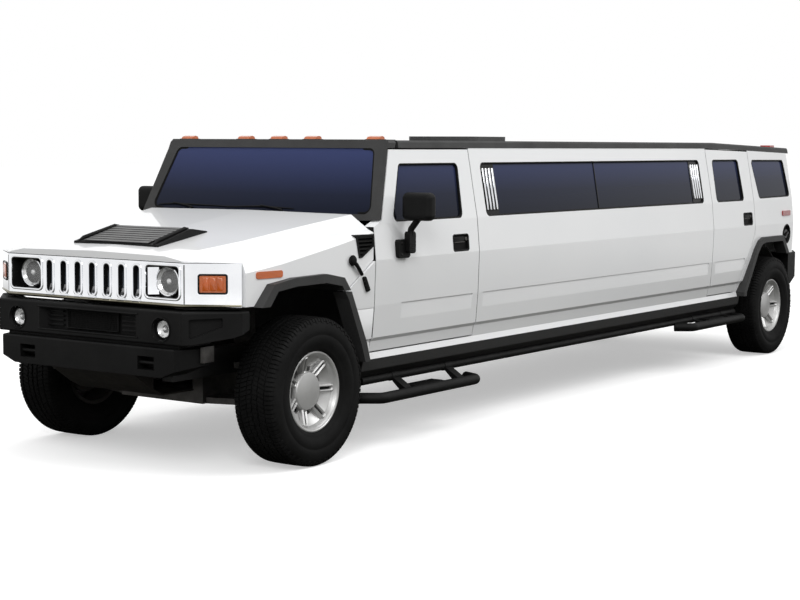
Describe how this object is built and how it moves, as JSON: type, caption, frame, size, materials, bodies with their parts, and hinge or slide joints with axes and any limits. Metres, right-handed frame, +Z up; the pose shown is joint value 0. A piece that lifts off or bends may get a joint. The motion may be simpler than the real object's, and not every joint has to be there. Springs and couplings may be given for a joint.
{
  "type": "stretch limousine",
  "caption": "Long off-road style stretch limousine with four doors, a tilting hood, a tailgate, steering and rolling wheels.",
  "frame": {"origin": "on the ground, in the middle of the car's length and width", "axes": "+Z up, -Y the front of the car, +X its left side"},
  "size_m": [2.43, 8.377, 1.922],
  "materials": {
    "body_paint": "gloss white",
    "black_plastic": "textured black",
    "chrome": "polished",
    "tinted_glass": "dark tint",
    "clear_lens": "clear",
    "amber_lens": "translucent amber",
    "red_lens": "translucent red",
    "tyre": "matt",
    "alloy": "machined and painted silver",
    "chassis_steel": "black chassis paint",
    "bare_steel": "raw casting",
    "skid_steel": "dull",
    "leather": "grained black",
    "interior_plastic": "grained"
  },
  "bodies": {
    "root": {"chassis_frame": "chassis_steel", "floor_pan": "chassis_steel", "windshield_frame": "black_plastic", "fixed_glass": "tinted_glass", "roof": "body_paint", "roof_trim": "black_plastic", "roof_lamps": "amber_lens", "side_panels": "body_paint", "quarter_panels": "body_paint", "sills": "body_paint", "side_cladding": "black_plastic", "running_boards": "black_plastic", "front_bumper": "black_plastic", "skid_plate": "skid_steel", "rear_bumper": "black_plastic", "tail_lamps": "red_lens", "fog_lamps": "clear_lens", "powertrain": "bare_steel", "rear_axle": "bare_steel", "front_suspension": "bare_steel", "exhaust": "bare_steel", "fuel_tank": "chassis_steel", "dashboard": "interior_plastic", "front_seats": "leather", "lounge_seats": "leather", "bar_cabinet": "interior_plastic", "partition": "interior_plastic"},
    "hood": {"hood_shell": "body_paint", "grille": "chrome", "headlamps": "clear_lens", "turn_signals": "amber_lens", "hood_vent": "black_plastic", "front_flares": "black_plastic"},
    "front_left_door": {"front_left_door": "body_paint", "front_left_door_glass": "tinted_glass", "left_mirror": "black_plastic"},
    "front_right_door": {"front_right_door": "body_paint", "front_right_door_glass": "tinted_glass", "right_mirror": "black_plastic"},
    "rear_left_door": {"rear_left_door": "body_paint", "rear_left_door_glass": "tinted_glass"},
    "rear_right_door": {"rear_right_door": "body_paint", "rear_right_door_glass": "tinted_glass"},
    "tailgate": {"tailgate": "body_paint", "tailgate_glass": "tinted_glass"},
    "left_knuckle": {"left_knuckle": "bare_steel"},
    "right_knuckle": {"right_knuckle": "bare_steel"},
    "front_left_wheel": {"front_left_tyre": "tyre", "front_left_rim": "alloy"},
    "front_right_wheel": {"front_right_tyre": "tyre", "front_right_rim": "alloy"},
    "rear_left_wheel": {"rear_left_tyre": "tyre", "rear_left_rim": "alloy"},
    "rear_right_wheel": {"rear_right_tyre": "tyre", "rear_right_rim": "alloy"}
  },
  "joints": [
    {"name": "hood_hinge", "type": "hinge", "parent": "root", "child": "hood", "pos_m": [0, -4.1375, 0.956], "axis": [1, 0, 0], "range_deg": [0, 60]},
    {"name": "front_left_door_hinge", "type": "hinge", "parent": "root", "child": "front_left_door", "pos_m": [1.006, -2.7475, 1.2], "axis": [0, 0, -1], "range_deg": [0, 66]},
    {"name": "front_right_door_hinge", "type": "hinge", "parent": "root", "child": "front_right_door", "pos_m": [-1.006, -2.7475, 1.2], "axis": [0, 0, 1], "range_deg": [0, 66]},
    {"name": "rear_left_door_hinge", "type": "hinge", "parent": "root", "child": "rear_left_door", "pos_m": [1.006, 2.0825, 1.2], "axis": [0, 0, -1], "range_deg": [0, 66]},
    {"name": "rear_right_door_hinge", "type": "hinge", "parent": "root", "child": "rear_right_door", "pos_m": [-1.006, 2.0825, 1.2], "axis": [0, 0, 1], "range_deg": [0, 66]},
    {"name": "tailgate_hinge", "type": "hinge", "parent": "root", "child": "tailgate", "pos_m": [0, 3.8965, 1.762], "axis": [1, 0, 0], "range_deg": [0, 85]},
    {"name": "left_steering", "type": "hinge", "parent": "root", "child": "left_knuckle", "pos_m": [0.8, -3.3375, 0.436], "axis": [0, 0, 1], "range_deg": [-30, 30]},
    {"name": "right_steering", "type": "hinge", "parent": "root", "child": "right_knuckle", "pos_m": [-0.8, -3.3375, 0.436], "axis": [0, 0, 1], "range_deg": [-30, 30]},
    {"name": "front_left_wheel_spin", "type": "hinge", "parent": "left_knuckle", "child": "front_left_wheel", "pos_m": [0.8815, -3.3375, 0.436], "axis": [1, 0, 0], "continuous": true},
    {"name": "front_right_wheel_spin", "type": "hinge", "parent": "right_knuckle", "child": "front_right_wheel", "pos_m": [-0.8815, -3.3375, 0.436], "axis": [1, 0, 0], "continuous": true},
    {"name": "rear_left_wheel_spin", "type": "hinge", "parent": "root", "child": "rear_left_wheel", "pos_m": [0.8815, 3.3365, 0.436], "axis": [1, 0, 0], "continuous": true},
    {"name": "rear_right_wheel_spin", "type": "hinge", "parent": "root", "child": "rear_right_wheel", "pos_m": [-0.8815, 3.3365, 0.436], "axis": [1, 0, 0], "continuous": true}
  ],
  "couplings": [
    {"joint": "right_steering", "follows": "left_steering", "ratio": 1}
  ]
}
